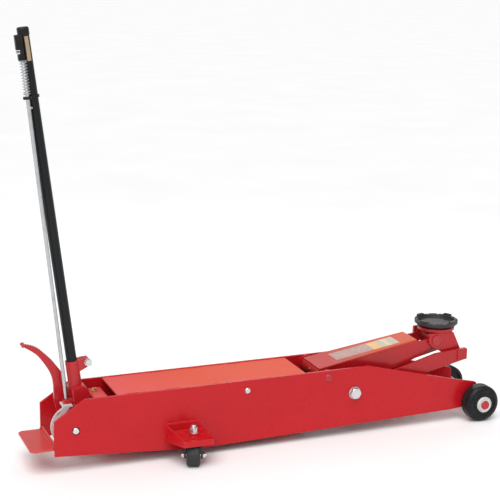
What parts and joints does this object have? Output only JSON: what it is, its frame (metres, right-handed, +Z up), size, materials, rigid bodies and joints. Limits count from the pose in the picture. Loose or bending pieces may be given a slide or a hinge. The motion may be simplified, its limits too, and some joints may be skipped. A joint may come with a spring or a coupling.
{
  "type": "hydraulic trolley jack",
  "caption": "Long-chassis hydraulic trolley jack with a lifting arm, round saddle, tall pump handle, foot pedal, front wheels and swivel casters.",
  "frame": {"origin": "middle of the bounding box on the floor", "axes": "+X towards the front wheels and saddle, +Y to the left of someone standing at the handle, +Z up"},
  "size_m": [1.55, 0.4022, 1.2895],
  "materials": {
    "frame_red": "gloss",
    "deck_red": "gloss",
    "step_red": "gloss",
    "arm_red": "gloss",
    "cover_red": "gloss",
    "socket_red": "gloss",
    "casting_red": "satin",
    "shaft_red": "gloss",
    "bright_steel": "satin",
    "zinc_steel": "satin",
    "spring_steel": "satin",
    "chrome_rod": "polished",
    "forged_iron": "matte",
    "saddle_black": "matte",
    "handle_black": "satin",
    "black_plastic": "matte",
    "brass": "satin",
    "wheel_tread": "satin",
    "bush_white": "satin",
    "fork_black": "satin",
    "caster_rubber": "matte"
  },
  "bodies": {
    "frame": {"side_plate_right": "frame_red", "side_plate_left": "frame_red", "top_cover": "deck_red", "rear_foot_plate": "step_red", "frame_ties": "frame_red", "pivot_bosses": "frame_red", "rear_pivot_shaft": "bright_steel", "spring_anchor_pin": "bright_steel", "lift_pivot_shaft": "shaft_red", "link_bolts": "zinc_steel", "front_axle": "shaft_red", "axle_retainers": "zinc_steel", "caster_brackets": "frame_red", "caster_kingpins": "bright_steel", "caster_nuts": "zinc_steel", "pump_block": "casting_red", "reservoir_head": "deck_red", "pump_plugs": "brass", "pressure_cylinder": "bright_steel", "reservoir_tube": "casting_red", "cylinder_gland": "zinc_steel", "return_springs": "spring_steel", "pump_spring": "spring_steel"},
    "lift_arm": {"arm_plates": "arm_red", "arm_cover": "cover_red", "arm_hub_tube": "arm_red", "arm_braces": "arm_red", "lift_heel": "forged_iron", "grease_nipple": "brass"},
    "level_links": {"link_plates": "arm_red"},
    "carrier": {"carrier_frame": "arm_red", "carrier_cup": "arm_red", "carrier_pins": "bright_steel"},
    "saddle_pad": {"saddle": "saddle_black"},
    "ram_slide": {"ram": "chrome_rod", "ram_crosshead": "forged_iron"},
    "piston": {"pump_piston": "chrome_rod"},
    "handle": {"handle_socket": "socket_red", "clamp_bolt": "zinc_steel", "pedal_bolt": "zinc_steel", "handle_tube": "handle_black", "handle_cap": "black_plastic", "rod_clip": "handle_black", "pedal": "socket_red", "release_spring": "spring_steel"},
    "release": {"release_rod": "bright_steel", "release_strap": "zinc_steel", "release_knob": "black_plastic", "knob_pin": "bright_steel"},
    "valve_lever": {"release_lever": "zinc_steel"},
    "wheel_right": {"front_wheel_right": "wheel_tread", "wheel_bush_right": "bush_white"},
    "caster_right": {"caster_fork_right": "fork_black", "caster_axle_right": "zinc_steel"},
    "caster_roller_right": {"caster_wheel_right": "caster_rubber"},
    "wheel_left": {"front_wheel_left": "wheel_tread", "wheel_bush_left": "bush_white"},
    "caster_left": {"caster_fork_left": "fork_black", "caster_axle_left": "zinc_steel"},
    "caster_roller_left": {"caster_wheel_left": "caster_rubber"}
  },
  "joints": [
    {"name": "lift_arm", "type": "hinge", "parent": "frame", "child": "lift_arm", "pos_m": [0.172, 0, 0.198], "axis": [0, -1, 0], "range_deg": [-22.5, 38.5]},
    {"name": "level_links", "type": "hinge", "parent": "frame", "child": "level_links", "pos_m": [0.2615, 0, 0.1405], "axis": [0, -1, 0], "range_deg": [-22.5, 38.5]},
    {"name": "carrier_level", "type": "hinge", "parent": "lift_arm", "child": "carrier", "pos_m": [0.5735, 0, 0.2705], "axis": [0, -1, 0], "range_deg": [-38.5, 22.5]},
    {"name": "saddle_turn", "type": "hinge", "parent": "carrier", "child": "saddle_pad", "pos_m": [0.602, 0, 0.3043], "axis": [0, 0, 1], "continuous": true},
    {"name": "ram_stroke", "type": "slide", "parent": "frame", "child": "ram_slide", "axis": [1, 0, 0], "range_m": [-0.03143, 0.05377], "deforming": ["return_springs"]},
    {"name": "handle_swing", "type": "hinge", "parent": "frame", "child": "handle", "pos_m": [-0.64, 0, 0.127], "axis": [0, -1, 0], "range_deg": [-3, 55]},
    {"name": "piston_stroke", "type": "slide", "parent": "frame", "child": "piston", "axis": [1, 0, 0], "range_m": [-0.00158, 0.02881], "deforming": ["pump_spring"]},
    {"name": "release_push", "type": "slide", "parent": "handle", "child": "release", "axis": [0.1028, 0, -0.9947], "range_m": [0, 0.012], "stiffness_N_per_m": 1500, "springref_m": -0.014, "deforming": ["release_spring"]},
    {"name": "valve_turn", "type": "hinge", "parent": "frame", "child": "valve_lever", "pos_m": [-0.553, -0.053, 0.088], "axis": [0, -1, 0], "range_deg": [0, 5.6]},
    {"name": "wheel_spin_right", "type": "hinge", "parent": "frame", "child": "wheel_right", "pos_m": [0.715, -0.115, 0.06], "axis": [0, 1, 0], "continuous": true},
    {"name": "caster_swivel_right", "type": "hinge", "parent": "frame", "child": "caster_right", "pos_m": [-0.296, -0.15, 0.077], "axis": [0, 0, 1], "continuous": true},
    {"name": "caster_roll_right", "type": "hinge", "parent": "caster_right", "child": "caster_roller_right", "pos_m": [-0.30162, -0.16391, 0.034], "axis": [0.9272, -0.3746, 0], "continuous": true},
    {"name": "wheel_spin_left", "type": "hinge", "parent": "frame", "child": "wheel_left", "pos_m": [0.715, 0.115, 0.06], "axis": [0, 1, 0], "continuous": true},
    {"name": "caster_swivel_left", "type": "hinge", "parent": "frame", "child": "caster_left", "pos_m": [-0.296, 0.15, 0.077], "axis": [0, 0, 1], "continuous": true},
    {"name": "caster_roll_left", "type": "hinge", "parent": "caster_left", "child": "caster_roller_left", "pos_m": [-0.30162, 0.16391, 0.034], "axis": [0.9272, 0.3746, 0], "continuous": true}
  ],
  "couplings": [
    {"joint": "level_links", "follows": "lift_arm", "ratio": 1},
    {"joint": "carrier_level", "follows": "lift_arm", "ratio": -1},
    {"joint": "ram_stroke", "follows": "lift_arm", "m_per_rad": 0.08},
    {"joint": "piston_stroke", "follows": "handle_swing", "m_per_rad": 0.03},
    {"joint": "valve_turn", "follows": "release_push", "rad_per_m": 8}
  ]
}
